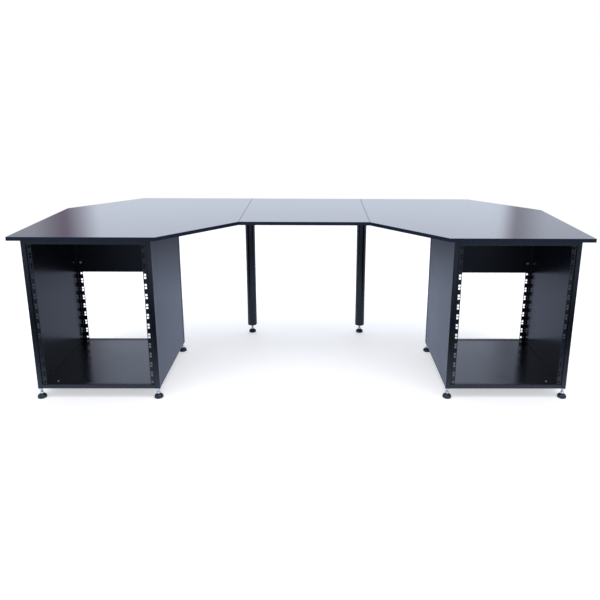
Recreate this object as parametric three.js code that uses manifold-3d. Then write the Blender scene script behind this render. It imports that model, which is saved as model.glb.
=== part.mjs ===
// Studio desk: an angled worktop of three boards over two 14-unit rack cabinets and two tube legs,
// standing on ten levelling feet. Millimetres, +X to the right, +Y away from the chair, +Z up.
// The floor is z = 0 and the origin lies on it, under the middle of the worktop's outline.

import * as THREE from 'three';
import { mergeVertices } from 'three/addons/utils/BufferGeometryUtils.js';
import Module from 'manifold-3d';

const wasm = await Module();
wasm.setup();

// Worktop: a straight centre board between two six-sided wings.
const BOARD_THICKNESS = 16;
const BOARD_ARRIS = 0.8;
const CENTRE_WIDTH = 600;
const CENTRE_DEPTH = 600;
const WING_WIDTH = 900;
const FRONT_DIAGONAL = 300;
const REAR_DIAGONAL = 300;
const SEAM_GAP = 0.4;

// Rack standard: height of one unit, clear opening, and square holes for cage nuts.
const RACK_PITCH = 44.45;
const RACK_UNITS = 14;
const RACK_OPENING = 450;
const CAGE_HOLE = 9.5;
const HOLE_TO_OPENING = 7.55;
const HOLE_TO_UNIT_EDGE = 6.35;

// Rack rail: a folded angle, screwed to the post through its return leg.
const RAIL_FLANGE = 20;
const RAIL_RETURN = 16;
const RAIL_SHEET = 2;
const RAIL_BEND = 2.5;
const RAIL_RECESS = 4;
const RAIL_END_ROOM = 3.85;
const RAIL_SCREW_HOLE = 5.5;
const RAIL_SCREW_MARGIN = 40;
const RAIL_SCREWS = 3;

// Cabinet: a welded ring of square tube at the front and at the rear, with boards between them.
const TUBE = 20;
const CABINET_DEPTH = 490;
const CABINET_FRONT_OVERHANG = 22;
const CABINET_END_OVERHANG = 45;
const SIDE_BOARD = 16;
const SIDE_RECESS = 1;
const FLOOR_BOARD = 16;

// Lugs welded inside the rings: the boards are screwed to them.
const LUG_REACH = 30;
const LUG_WIDTH = 30;
const LUG_SHEET = 2;
const LUG_HOLE = 5;
const SIDE_LUG_INSET = 78;
const FLOOR_LUG_INSET = 75;
const WORKTOP_SCREW_HOLE = 5;
const WORKTOP_SCREW_INSET = 90;

// Blank panel over the upper part of the cabinet's rear opening.
const BLANK_UNITS = 6;
const BLANK_TRIM = 0.8;
const BLANK_SHEET = 3;
const BLANK_OVERLAP = 16.3;
const BLANK_HOLE = 7;

// Tube legs under the two seams, with their top plates.
const LEG_DIAMETER = 50;
const LEG_WALL = 1.5;
const LEG_END_CAP = 20;
const LEG_END_CHAMFER = 2;
const LEG_REAR_SETBACK = 150;
const LEG_PLATE = 110;
const LEG_PLATE_SHEET = 3;
const LEG_PLATE_CORNER = 8;
const LEG_SPIGOT = 25;
const LEG_SPIGOT_WALL = 3;

// Joining plates under the front of the seams.
const SEAM_PLATE_LENGTH = 160;
const SEAM_PLATE_WIDTH = 60;
const SEAM_PLATE_SHEET = 3;
const SEAM_PLATE_CORNER = 5;
const SEAM_PLATE_SETBACK = 90;
const PLATE_SCREW_HOLE = 5;
const PLATE_SCREW_INSET = 12;

// Levelling foot: moulded pad, stud with a hexagon at its foot, thin lock nut under the frame.
const FOOT_HEIGHT = 45;
const PAD_DIAMETER = 40;
const PAD_RIM = 4;
const PAD_BASE_CHAMFER = 1;
const PAD_HEIGHT = 20;
const PAD_NECK_DIAMETER = 17;
const PAD_SOCKET_DEPTH = 12;
const STUD_DIAMETER = 10;
const STUD_TIP_CHAMFER = 1.2;
const STUD_TIP_ROOM = 5;
const STUD_ENGAGEMENT = 30;
const STUD_PIN_DIAMETER = 9;
const HEX_SIDES = 6;
const HEX_FLATS = 14;
const HEX_HEIGHT = 6;
const NUT_FLATS = 17;
const NUT_HEIGHT = 5;
const FOOT_UPWARD_TRAVEL = 12;

// Clearances.
const SEAT_GAP = 0.3;
const RAIL_END_GAP = 0.3;
const THREAD_GAP = 0.3;
const SOCKET_GAP = 0.3;
const OVERRUN = 5;

// Smoothness of round shapes, as numbers of facets.
const LEG_FACETS = 24;
const SPIGOT_FACETS = 16;
const PAD_FACETS = 18;
const STUD_FACETS = 12;
const HOLE_FACETS = 8;
const ARC_STEPS = 4;
const BEND_STEPS = 1;

// Sizes that follow from the ones above.
const CABINET_WIDTH = RACK_OPENING + 2 * (RAIL_FLANGE + TUBE);
const RAIL_SPACE = RACK_UNITS * RACK_PITCH + 2 * RAIL_END_ROOM;
const CABINET_HEIGHT = RAIL_SPACE + 2 * TUBE;
const CABINET_TOP = FOOT_HEIGHT + CABINET_HEIGHT;
const WORKTOP_UNDERSIDE = CABINET_TOP + SEAT_GAP;
const WORKTOP_DEPTH = CENTRE_DEPTH + FRONT_DIAGONAL;
const WORKTOP_HALF_WIDTH = CENTRE_WIDTH / 2 + WING_WIDTH;
const FRONT_EDGE = -WORKTOP_DEPTH / 2;
const REAR_EDGE = WORKTOP_DEPTH / 2;
const CABINET_CENTRE_X = WORKTOP_HALF_WIDTH - CABINET_END_OVERHANG - CABINET_WIDTH / 2;
const CABINET_FRONT = FRONT_EDGE + CABINET_FRONT_OVERHANG;
const CABINET_CENTRE_Y = CABINET_FRONT + CABINET_DEPTH / 2;
const POST_TO_CENTRE_X = (CABINET_WIDTH - TUBE) / 2;
const POST_TO_CENTRE_Y = (CABINET_DEPTH - TUBE) / 2;
const BOARD_LENGTH = CABINET_DEPTH - 2 * (TUBE + SEAT_GAP);
const SIDE_LUG_FACE = SIDE_RECESS + SIDE_BOARD + SEAT_GAP;
const FLOOR_WIDTH = CABINET_WIDTH - 2 * SIDE_LUG_FACE;
const HOLE_COLUMN = RAIL_FLANGE - HOLE_TO_OPENING;
const RAIL_LENGTH = RAIL_SPACE - 2 * RAIL_END_GAP;
const SEAM_X = CENTRE_WIDTH / 2;
const LEG_Y = REAR_EDGE - LEG_REAR_SETBACK;
const LEG_LENGTH = WORKTOP_UNDERSIDE - FOOT_HEIGHT - LEG_PLATE_SHEET - 2 * SEAT_GAP;

const satin = (color, roughness, metalness = 0) =>
  new THREE.MeshStandardMaterial({ color, roughness, metalness });

const looks = {
  laminate: () => satin(0x1b1c24, 0.32),
  sideBoard: () => satin(0x1f222a, 0.45),
  floorBoard: () => satin(0x15161b, 0.4),
  paintedTube: () => satin(0x12161d, 0.38, 0.1),
  paintedSheet: () => satin(0x14181f, 0.42, 0.1),
  pad: () => satin(0x101116, 0.5),
  zinc: () => satin(0xc3c8cc, 0.3, 1),
  darkSteel: () => satin(0x24262b, 0.45, 0.6),
};

// A closed mesh as a solid that can be joined and cut. Facets that a turned profile squeezes to
// nothing on its axis are left out.
function solidOf(geometry) {
  const bare = geometry.clone();
  bare.deleteAttribute('normal');
  bare.deleteAttribute('uv');
  const merged = mergeVertices(bare);
  const corners = merged.index.array;
  const triVerts = [];
  for (let i = 0; i < corners.length; i += 3) {
    const [a, b, c] = corners.slice(i, i + 3);
    if (a !== b && b !== c && c !== a) triVerts.push(a, b, c);
  }
  return new wasm.Manifold(new wasm.Mesh({
    numProp: 3,
    vertProperties: new Float32Array(merged.attributes.position.array),
    triVerts: new Uint32Array(triVerts),
  }));
}

function geometryOf(solid) {
  const { vertProperties, triVerts } = solid.getMesh();
  const geometry = new THREE.BufferGeometry();
  geometry.setAttribute('position', new THREE.BufferAttribute(vertProperties, 3));
  geometry.setIndex(new THREE.BufferAttribute(triVerts, 1));
  geometry.computeVertexNormals();
  return geometry;
}

const without = (solid, cutters) => cutters.reduce((rest, cutter) => rest.subtract(cutter), solid);
const joined = (solid, others) => others.reduce((whole, other) => whole.add(other), solid);

// A box given by its size and the place of its centre.
function block(width, depth, height, x = 0, y = 0, z = 0) {
  return new THREE.BoxGeometry(width, depth, height).translate(x, y, z);
}

// A round bar along Z, given by the height of its lower end.
function upright(diameter, height, x, y, bottom, facets = HOLE_FACETS) {
  return new THREE.CylinderGeometry(diameter / 2, diameter / 2, height, facets)
    .rotateX(Math.PI / 2)
    .translate(x, y, bottom + height / 2);
}

// A round bar along X, given by its middle.
const barAlongX = (diameter, length, x, y, z) =>
  new THREE.CylinderGeometry(diameter / 2, diameter / 2, length, HOLE_FACETS)
    .rotateZ(Math.PI / 2)
    .translate(x, y, z);

const outline = (points) => new THREE.Shape(points.map(([x, y]) => new THREE.Vector2(x, y)));

function rectangle(path, width, height, corner = 0) {
  const [right, top] = [width / 2, height / 2];
  path.moveTo(corner - right, -top);
  path.lineTo(right - corner, -top);
  if (corner) path.absarc(right - corner, corner - top, corner, -Math.PI / 2, 0);
  path.lineTo(right, top - corner);
  if (corner) path.absarc(right - corner, top - corner, corner, 0, Math.PI / 2);
  path.lineTo(corner - right, top);
  if (corner) path.absarc(corner - right, top - corner, corner, Math.PI / 2, Math.PI);
  path.lineTo(-right, corner - top);
  if (corner) path.absarc(corner - right, corner - top, corner, Math.PI, 1.5 * Math.PI);
  return path;
}

function circleAt(x, y, diameter) {
  return new THREE.Path().absarc(x, y, diameter / 2, 0, 2 * Math.PI, true);
}

function hexagon(flats) {
  const turn = (2 * Math.PI) / HEX_SIDES;
  const radius = flats / 2 / Math.cos(turn / 2);
  const angles = Array.from({ length: HEX_SIDES }, (_, i) => i * turn);
  return outline(angles.map((angle) => [radius * Math.cos(angle), radius * Math.sin(angle)]));
}

// A board with its edges eased all round; its underside lies at z = 0.
function board(shape, thickness, arris) {
  return new THREE.ExtrudeGeometry(shape, {
    depth: thickness - 2 * arris,
    bevelEnabled: true,
    bevelSize: arris,
    bevelOffset: -arris,
    bevelThickness: arris,
    bevelSegments: 1,
  }).translate(0, 0, arris);
}

function plate(shape, sheet, steps = ARC_STEPS) {
  return new THREE.ExtrudeGeometry(shape, { depth: sheet, bevelEnabled: false, curveSegments: steps });
}

// Worktop boards, in plan: the wing's outer rear corner and inner front corner are cut at 45 degrees.
function wingBoard(side) {
  const seam = SEAM_X + SEAM_GAP;
  const end = WORKTOP_HALF_WIDTH;
  return board(outline([
    [side * (SEAM_X + FRONT_DIAGONAL), FRONT_EDGE],
    [side * end, FRONT_EDGE],
    [side * end, REAR_EDGE - REAR_DIAGONAL],
    [side * (end - REAR_DIAGONAL), REAR_EDGE],
    [side * seam, REAR_EDGE],
    [side * seam, FRONT_EDGE + FRONT_DIAGONAL - SEAM_GAP],
  ]), BOARD_THICKNESS, BOARD_ARRIS);
}

function centreBoard() {
  const shape = rectangle(new THREE.Shape(), CENTRE_WIDTH, CENTRE_DEPTH);
  return board(shape, BOARD_THICKNESS, BOARD_ARRIS).translate(0, REAR_EDGE - CENTRE_DEPTH / 2, 0);
}

// One ring of a cabinet, facing -Y, with its foot at z = 0 and its front face at y = 0. The posts
// are drilled from below for the feet, and the lugs reach back into the cabinet.
function ringFrame() {
  const middle = CABINET_HEIGHT / 2;
  const shape = rectangle(new THREE.Shape(), CABINET_WIDTH, CABINET_HEIGHT);
  shape.holes.push(rectangle(new THREE.Path(), RACK_OPENING + 2 * RAIL_FLANGE, RAIL_SPACE));
  const ring = new THREE.ExtrudeGeometry(shape, { depth: TUBE, bevelEnabled: false })
    .rotateX(Math.PI / 2)
    .translate(0, TUBE, middle);

  const lugs = [];
  const holes = [];
  const lugStart = TUBE - LUG_SHEET;
  const lugLength = LUG_REACH + LUG_SHEET;
  const lugCentre = lugStart + lugLength / 2;
  const holeCentre = TUBE + LUG_REACH / 2;
  for (const side of [-1, 1]) {
    const sideLug = side * (CABINET_WIDTH / 2 - SIDE_LUG_FACE - LUG_SHEET / 2);
    for (const height of [SIDE_LUG_INSET, CABINET_HEIGHT - SIDE_LUG_INSET]) {
      lugs.push(block(LUG_SHEET, lugLength, LUG_WIDTH, sideLug, lugCentre, height));
      holes.push(barAlongX(LUG_HOLE, LUG_SHEET + OVERRUN, sideLug, holeCentre, height));
    }
    const floorLug = side * (CABINET_WIDTH / 2 - FLOOR_LUG_INSET);
    lugs.push(block(LUG_WIDTH, lugLength, LUG_SHEET, floorLug, lugCentre, LUG_SHEET / 2));
    holes.push(upright(LUG_HOLE, LUG_SHEET + OVERRUN, floorLug, holeCentre, -OVERRUN / 2));

    const topScrew = side * (CABINET_WIDTH / 2 - WORKTOP_SCREW_INSET);
    const topHoleFoot = CABINET_HEIGHT - TUBE - OVERRUN / 2;
    holes.push(upright(WORKTOP_SCREW_HOLE, TUBE + OVERRUN, topScrew, TUBE / 2, topHoleFoot));

    const bore = STUD_DIAMETER + 2 * THREAD_GAP;
    const boreDepth = STUD_ENGAGEMENT + FOOT_UPWARD_TRAVEL + STUD_TIP_ROOM;
    const post = side * POST_TO_CENTRE_X;
    holes.push(upright(bore, boreDepth + OVERRUN, post, TUBE / 2, -OVERRUN, STUD_FACETS));
  }
  return geometryOf(without(joined(solidOf(ring), lugs.map(solidOf)), holes.map(solidOf)));
}

// Heights of the square holes: one near each edge of every rack unit, so they pair up at the joints
// between units.
function rackHoleHeights() {
  const heights = [];
  for (let unit = 0; unit < RACK_UNITS; unit += 1) {
    const foot = RAIL_END_ROOM - RAIL_END_GAP + unit * RACK_PITCH;
    heights.push(foot + HOLE_TO_UNIT_EDGE, foot + RACK_PITCH - HOLE_TO_UNIT_EDGE);
  }
  return heights;
}

// The rack rail of the front left post: the corner of the angle lies at the origin, the flange runs
// along +X and the return leg along +Y. Turned end for end or about, it serves the other three posts.
function rackRail() {
  const flange = RAIL_FLANGE - SEAT_GAP;
  const inner = RAIL_BEND - RAIL_SHEET;
  const section = new THREE.Shape();
  section.moveTo(RAIL_BEND, 0);
  section.lineTo(flange, 0);
  section.lineTo(flange, RAIL_SHEET);
  section.lineTo(RAIL_BEND, RAIL_SHEET);
  section.absarc(RAIL_BEND, RAIL_BEND, inner, 1.5 * Math.PI, Math.PI, true);
  section.lineTo(RAIL_SHEET, RAIL_RETURN);
  section.lineTo(0, RAIL_RETURN);
  section.absarc(RAIL_BEND, RAIL_BEND, RAIL_BEND, Math.PI, 1.5 * Math.PI);
  const angle = plate(section, RAIL_LENGTH, BEND_STEPS);

  const through = RAIL_SHEET + OVERRUN;
  const holeColumn = HOLE_COLUMN - SEAT_GAP;
  const punched = rackHoleHeights().map((z) =>
    block(CAGE_HOLE, through, CAGE_HOLE, holeColumn, RAIL_SHEET / 2, z));
  const screwRun = RAIL_LENGTH - 2 * RAIL_SCREW_MARGIN;
  const returnMiddle = (RAIL_BEND + RAIL_RETURN) / 2;
  for (let i = 0; i < RAIL_SCREWS; i += 1) {
    const z = RAIL_SCREW_MARGIN + (screwRun * i) / (RAIL_SCREWS - 1);
    punched.push(barAlongX(RAIL_SCREW_HOLE, through, RAIL_SHEET / 2, returnMiddle, z));
  }
  return geometryOf(without(solidOf(angle), punched.map(solidOf)));
}

// Blank panel, standing on z = 0 with its front face at y = 0.
function blankPanel() {
  const width = RACK_OPENING + 2 * BLANK_OVERLAP;
  const height = BLANK_UNITS * RACK_PITCH - BLANK_TRIM;
  const shape = rectangle(new THREE.Shape(), width, height);
  const column = RACK_OPENING / 2 + HOLE_TO_OPENING;
  const row = (BLANK_UNITS * RACK_PITCH) / 2 - RACK_PITCH - HOLE_TO_UNIT_EDGE;
  for (const side of [-1, 1]) {
    for (const level of [-row, row]) shape.holes.push(circleAt(side * column, level, BLANK_HOLE));
  }
  return plate(shape, BLANK_SHEET).rotateX(Math.PI / 2).translate(0, BLANK_SHEET, height / 2);
}

const sideBoard = () => block(SIDE_BOARD, BOARD_LENGTH, CABINET_HEIGHT, 0, 0, CABINET_HEIGHT / 2);
const floorBoard = () => block(FLOOR_WIDTH, BOARD_LENGTH, FLOOR_BOARD, 0, 0, FLOOR_BOARD / 2);

// Leg tube, standing on z = 0, open at the top, with a threaded end cap welded in at the bottom.
function legTube() {
  const outer = LEG_DIAMETER / 2;
  const inner = outer - LEG_WALL;
  const bore = STUD_DIAMETER / 2 + THREAD_GAP;
  const profile = [
    [bore, 0], [outer - LEG_END_CHAMFER, 0], [outer, LEG_END_CHAMFER], [outer, LEG_LENGTH],
    [inner, LEG_LENGTH], [inner, LEG_END_CAP], [bore, LEG_END_CAP], [bore, 0],
  ];
  return lathe(profile, LEG_FACETS);
}

function lathe(profile, facets) {
  const points = profile.map(([radius, height]) => new THREE.Vector2(radius, height));
  const turned = new THREE.LatheGeometry(points, facets).rotateX(Math.PI / 2);
  return geometryOf(solidOf(turned));
}

// Top plate of a leg, with its upper face at z = 0 and a hollow spigot that centres the tube.
function legPlate() {
  const shape = rectangle(new THREE.Shape(), LEG_PLATE, LEG_PLATE, LEG_PLATE_CORNER);
  const inset = LEG_PLATE / 2 - PLATE_SCREW_INSET;
  for (const x of [-inset, inset]) {
    for (const y of [-inset, inset]) shape.holes.push(circleAt(x, y, PLATE_SCREW_HOLE));
  }
  const flat = plate(shape, LEG_PLATE_SHEET).translate(0, 0, -LEG_PLATE_SHEET);
  const spigot = LEG_DIAMETER - 2 * (LEG_WALL + SEAT_GAP);
  const bar = LEG_SPIGOT + LEG_PLATE_SHEET;
  const hollow = spigot - 2 * LEG_SPIGOT_WALL;
  const outside = upright(spigot, bar, 0, 0, -bar, SPIGOT_FACETS);
  const inside = upright(hollow, LEG_SPIGOT + OVERRUN, 0, 0, -bar - OVERRUN, SPIGOT_FACETS);
  return geometryOf(solidOf(flat).add(solidOf(outside)).subtract(solidOf(inside)));
}

function seamPlate() {
  const shape = rectangle(new THREE.Shape(), SEAM_PLATE_LENGTH, SEAM_PLATE_WIDTH, SEAM_PLATE_CORNER);
  const right = SEAM_PLATE_LENGTH / 2 - PLATE_SCREW_INSET;
  const rear = SEAM_PLATE_WIDTH / 2 - PLATE_SCREW_INSET;
  for (const x of [-right, right]) {
    for (const y of [-rear, rear]) shape.holes.push(circleAt(x, y, PLATE_SCREW_HOLE));
  }
  return plate(shape, SEAM_PLATE_SHEET).translate(0, 0, -SEAM_PLATE_SHEET);
}

// Moulded pad: flat base, straight rim, domed shoulder rising to the neck, socket for the stud's pin.
function footPad() {
  const rim = PAD_DIAMETER / 2;
  const neck = PAD_NECK_DIAMETER / 2;
  const socket = STUD_PIN_DIAMETER / 2 + SOCKET_GAP;
  const rise = PAD_HEIGHT - PAD_RIM;
  const domeShares = [[1, 0], [0.74, 0.62], [0, 1]];
  const dome = domeShares.map(([out, up]) => [neck + (rim - neck) * out, PAD_RIM + rise * up]);
  const floorOfSocket = PAD_HEIGHT - PAD_SOCKET_DEPTH;
  return lathe([
    [0, 0], [rim - PAD_BASE_CHAMFER, 0], [rim, PAD_BASE_CHAMFER], ...dome,
    [socket, PAD_HEIGHT], [socket, floorOfSocket], [0, floorOfSocket],
  ], PAD_FACETS);
}

// Stud, standing with the pad's underside at z = 0: pin in the socket, hexagon above the neck,
// plain outline of the thread up into the frame.
function footStud() {
  const pinFoot = PAD_HEIGHT - PAD_SOCKET_DEPTH + SEAT_GAP;
  const hexFoot = PAD_HEIGHT + SEAT_GAP;
  const tip = FOOT_HEIGHT + STUD_ENGAGEMENT;
  const radius = STUD_DIAMETER / 2;
  const pin = STUD_PIN_DIAMETER / 2;
  const hexTop = hexFoot + HEX_HEIGHT;
  const turned = lathe([
    [0, pinFoot], [pin, pinFoot], [pin, hexFoot], [radius, hexTop],
    [radius, tip - STUD_TIP_CHAMFER], [radius - STUD_TIP_CHAMFER, tip], [0, tip],
  ], STUD_FACETS);
  const hex = plate(hexagon(HEX_FLATS), HEX_HEIGHT).translate(0, 0, hexFoot);
  return geometryOf(solidOf(turned).add(solidOf(hex)));
}

function lockNut() {
  const shape = hexagon(NUT_FLATS);
  shape.holes.push(circleAt(0, 0, STUD_DIAMETER + 2 * THREAD_GAP));
  const foot = FOOT_HEIGHT - SEAT_GAP - NUT_HEIGHT;
  return plate(shape, NUT_HEIGHT, STUD_FACETS / 2).translate(0, 0, foot);
}

const desk = new THREE.Group();

function put(parent, name, geometry, material, x = 0, y = 0, z = 0) {
  const mesh = new THREE.Mesh(geometry, material);
  mesh.name = name;
  mesh.position.set(x, y, z);
  parent.add(mesh);
  return mesh;
}

function addFoot(parent, name, x, y) {
  put(parent, `${name}_foot_pad`, footPad(), looks.pad(), x, y);
  put(parent, `${name}_foot_stud`, footStud(), looks.zinc(), x, y);
  put(parent, `${name}_foot_nut`, lockNut(), looks.zinc(), x, y);
}

function addWorktop() {
  put(desk, 'worktop_centre', centreBoard(), looks.laminate(), 0, 0, WORKTOP_UNDERSIDE);
  const plateTop = WORKTOP_UNDERSIDE - SEAT_GAP;
  const plateY = REAR_EDGE - CENTRE_DEPTH + SEAM_PLATE_SETBACK;
  for (const [name, side] of [['left', -1], ['right', 1]]) {
    put(desk, `worktop_${name}`, wingBoard(side), looks.laminate(), 0, 0, WORKTOP_UNDERSIDE);
    put(desk, `seam_plate_${name}`, seamPlate(), looks.darkSteel(), side * SEAM_X, plateY, plateTop);
  }
}

// A cabinet is the same about both of its middle planes, apart from the blank panel at its rear.
function addCabinet(name, side) {
  const cabinet = new THREE.Group();
  cabinet.position.set(side * CABINET_CENTRE_X, CABINET_CENTRE_Y, 0);
  desk.add(cabinet);
  const ends = [['front', -1], ['rear', 1]];
  const walls = [['inner', -side], ['outer', side]];

  for (const [end, facing] of ends) {
    const ring = put(cabinet, `${name}_${end}_frame`, ringFrame(), looks.paintedTube());
    ring.position.set(0, (facing * CABINET_DEPTH) / 2, FOOT_HEIGHT);
    if (facing > 0) ring.rotation.z = Math.PI;
  }

  for (const [wall, out] of walls) {
    const x = out * (CABINET_WIDTH / 2 - SIDE_RECESS - SIDE_BOARD / 2);
    put(cabinet, `${name}_${wall}_side_board`, sideBoard(), looks.sideBoard(), x, 0, FOOT_HEIGHT);
  }
  const floorFoot = FOOT_HEIGHT + LUG_SHEET + SEAT_GAP;
  put(cabinet, `${name}_floor_board`, floorBoard(), looks.floorBoard(), 0, 0, floorFoot);

  const railFoot = FOOT_HEIGHT + TUBE + RAIL_END_GAP;
  const corner = RACK_OPENING / 2 + RAIL_FLANGE - SEAT_GAP;
  for (const [end, facing] of ends) {
    for (const [wall, out] of walls) {
      const rail = put(cabinet, `${name}_${end}_${wall}_rail`, rackRail(), looks.paintedSheet());
      const turnedOver = facing !== out;
      const y = facing * (CABINET_DEPTH / 2 - RAIL_RECESS);
      rail.position.set(out * corner, y, turnedOver ? railFoot + RAIL_LENGTH : railFoot);
      if (turnedOver && facing < 0) rail.rotation.y = Math.PI;
      if (turnedOver && facing > 0) rail.rotation.x = Math.PI;
      if (!turnedOver && facing > 0) rail.rotation.z = Math.PI;
    }
  }

  const rackTop = CABINET_TOP - TUBE - RAIL_END_ROOM;
  const blankFoot = rackTop - BLANK_UNITS * RACK_PITCH + BLANK_TRIM / 2;
  const blankFace = CABINET_DEPTH / 2 - RAIL_RECESS + SEAT_GAP;
  put(cabinet, `${name}_rear_blank_panel`, blankPanel(), looks.paintedSheet(), 0, blankFace, blankFoot);

  for (const [end, facing] of ends) {
    for (const [wall, out] of walls) {
      addFoot(cabinet, `${name}_${end}_${wall}`, out * POST_TO_CENTRE_X, facing * POST_TO_CENTRE_Y);
    }
  }
}

function addLeg(name, side) {
  const leg = new THREE.Group();
  leg.position.set(side * SEAM_X, LEG_Y, 0);
  desk.add(leg);
  put(leg, `${name}_leg_tube`, legTube(), looks.paintedTube(), 0, 0, FOOT_HEIGHT);
  put(leg, `${name}_leg_plate`, legPlate(), looks.darkSteel(), 0, 0, WORKTOP_UNDERSIDE - SEAT_GAP);
  addFoot(leg, `${name}_leg`, 0, 0);
}

addWorktop();
for (const [name, side] of [['left', -1], ['right', 1]]) {
  addCabinet(name, side);
  addLeg(name, side);
}

export default desk;
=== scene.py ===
"""Studio desk in a plain white studio: an angled worktop on two rack cabinets and two tube legs.

Metres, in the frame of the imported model: +X to the right, +Y away from the chair, +Z up."""
import math
import bmesh
import bpy
from mathutils import Matrix, Vector


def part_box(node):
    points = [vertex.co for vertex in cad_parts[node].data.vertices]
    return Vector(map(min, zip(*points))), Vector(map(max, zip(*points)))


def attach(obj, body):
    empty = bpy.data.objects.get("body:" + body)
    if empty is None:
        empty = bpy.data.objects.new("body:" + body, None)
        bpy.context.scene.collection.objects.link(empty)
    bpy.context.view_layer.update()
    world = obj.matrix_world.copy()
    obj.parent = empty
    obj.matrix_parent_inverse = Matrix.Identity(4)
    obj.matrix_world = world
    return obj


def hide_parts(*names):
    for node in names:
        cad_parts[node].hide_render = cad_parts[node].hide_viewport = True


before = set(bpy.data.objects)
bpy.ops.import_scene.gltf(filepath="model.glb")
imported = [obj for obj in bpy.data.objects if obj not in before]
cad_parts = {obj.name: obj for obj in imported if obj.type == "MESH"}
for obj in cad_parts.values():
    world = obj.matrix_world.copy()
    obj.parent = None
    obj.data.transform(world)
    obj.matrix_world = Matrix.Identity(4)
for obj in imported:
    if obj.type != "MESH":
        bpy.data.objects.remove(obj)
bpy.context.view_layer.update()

MM = 0.001
SIDES = {"left": -1, "right": 1}
ENDS = {"front": -1, "rear": 1}
WALLS = ("inner", "outer")

# Plan of the worktop, and the broken edges of the boards.
HALF_WIDTH = 1200 * MM
HALF_DEPTH = 450 * MM
CENTRE_HALF = 300 * MM
CENTRE_DEPTH = 600 * MM
DIAGONAL = 300 * MM
SEAM_GAP = 0.4 * MM
WORKTOP_ARRIS = 0.9 * MM
BOARD_ARRIS = 0.5 * MM
FLOOR_ARRIS = 1.3 * MM
BROAD_FACE = 0.99

# Rings of square tube, with their weld beads and lugs.
TUBE = 20 * MM
TUBE_CORNER = 2.2 * MM
BORE_DEPTH = 47 * MM
WELD_LENGTH = 17.2 * MM
WELD_RADIUS = 1.6 * MM
LUG_SHEET = 2 * MM
LUG_CORNER = 5 * MM
LUG_REACH = 30 * MM
LUG_WIDTH = 30 * MM
SIDE_LUG_INSET = 78 * MM
SIDE_LUG_FACE = 17.3 * MM
FLOOR_LUG_INSET = 75 * MM
SHEET_ARRIS = 0.3 * MM

# Rack rails and blank panels.
RACK_PITCH = 44.45 * MM
RACK_UNITS = 14
RACK_OPENING = 450 * MM
CAGE_HOLE = 9.5 * MM
HOLE_TO_OPENING = 7.55 * MM
HOLE_TO_UNIT_EDGE = 6.35 * MM
RAIL_SHEET = 2 * MM
RAIL_BEND = 2.5 * MM
RAIL_ARRIS = 0.25 * MM
RAIL_SCREW_MARGIN = 40 * MM
RAIL_SCREWS = 3
BLANK_UNITS = 6
BLANK_CORNER = 1.5 * MM
SEAT_GAP = 0.3 * MM

# Screws and cage nuts. The recess and the height of a head are shares of its radius.
RAIL_SCREW = 4.6 * MM
FRAME_SCREW = 4.4 * MM
FLOOR_SCREW = 4.2 * MM
BLANK_SCREW = 5.4 * MM
PLATE_SCREW = 4.8 * MM
PLATE_SCREW_INSET = 12 * MM
WORKTOP_SCREW_INSET = 90 * MM
HEAD_HEIGHT = 0.55
HEAD_RIM = 0.25
HEAD_CROWN = 0.45
RECESS_ARM = 0.13
RECESS_REACH = 0.52
RECESS_DEPTH = 0.7
CAGE_SIZE = (12.6 * MM, 11.2 * MM)
CAGE_CORNER = 0.8 * MM
CAGE_SHEET = 1.2 * MM
CAGE_NUT_WIDTH = 9.6 * MM
CAGE_NUT_CORNER = 0.6 * MM
CAGE_NUT_ARRIS = 0.4 * MM
CAGE_NUT_DEPTH = 4.8 * MM
CAGE_TIP = ((0, 1 * MM), (2.9 * MM, 1 * MM), (2.9 * MM, 7 * MM), (2.2 * MM, 7.8 * MM), (0, 7.8 * MM))

# Legs.
LEG_WALL = 1.5 * MM
LEG_CAP = 20 * MM
LEG_ARRIS = 2 * MM
LEG_PLATE_SHEET = 3 * MM

# Levelling foot.
PAD_HEIGHT = 20 * MM
PAD_RIM_HEIGHT = 3.6 * MM
PAD_ARRIS = 1.2 * MM
PAD_SOLE_INSET = 4.4 * MM
PAD_HOLLOW = 0.6 * MM
PAD_NECK = 8.9 * MM
COLLAR_RADIUS = 8.5 * MM
COLLAR_HEIGHT = 4 * MM
COLLAR_ARRIS = 0.6 * MM
SOCKET_RADIUS = 4.9 * MM
SOCKET_DEPTH = 12 * MM
STUD_RADIUS = 5 * MM
STUD_TIP = 1.2 * MM
STUD_TIP_SHARE = 0.2
PIN_RADIUS = 4.4 * MM
THREAD_PITCH = 1.5 * MM
THREAD_DEPTH = 0.85 * MM
THREAD_SHAPE = (0.0, 0.45, 1.0, 0.45)
HEX_FLATS = 14 * MM
HEX_HEIGHT = 6 * MM
HEX_ARRIS = 0.5 * MM
NUT_FLATS = 17 * MM
NUT_CHAMFER = 0.7 * MM
NUT_ROUND = 1.02 * NUT_FLATS / 2
NUT_BORE = 5.2 * MM

# Camera, found from the photograph by fitting the desk's corners and rail holes.
CAMERA_PLACE = (0.0511, -2.7108, 1.2996)
CAMERA_YAW = 0.674
CAMERA_PITCH = -13.905
CAMERA_ROLL = 0.350
FOCAL_PIXELS = 574.6
PICTURE_PIXELS = 600
AXIS_PIXEL = (322.0, 236.0)
FILM_WIDTH_MM = 36.0

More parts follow.
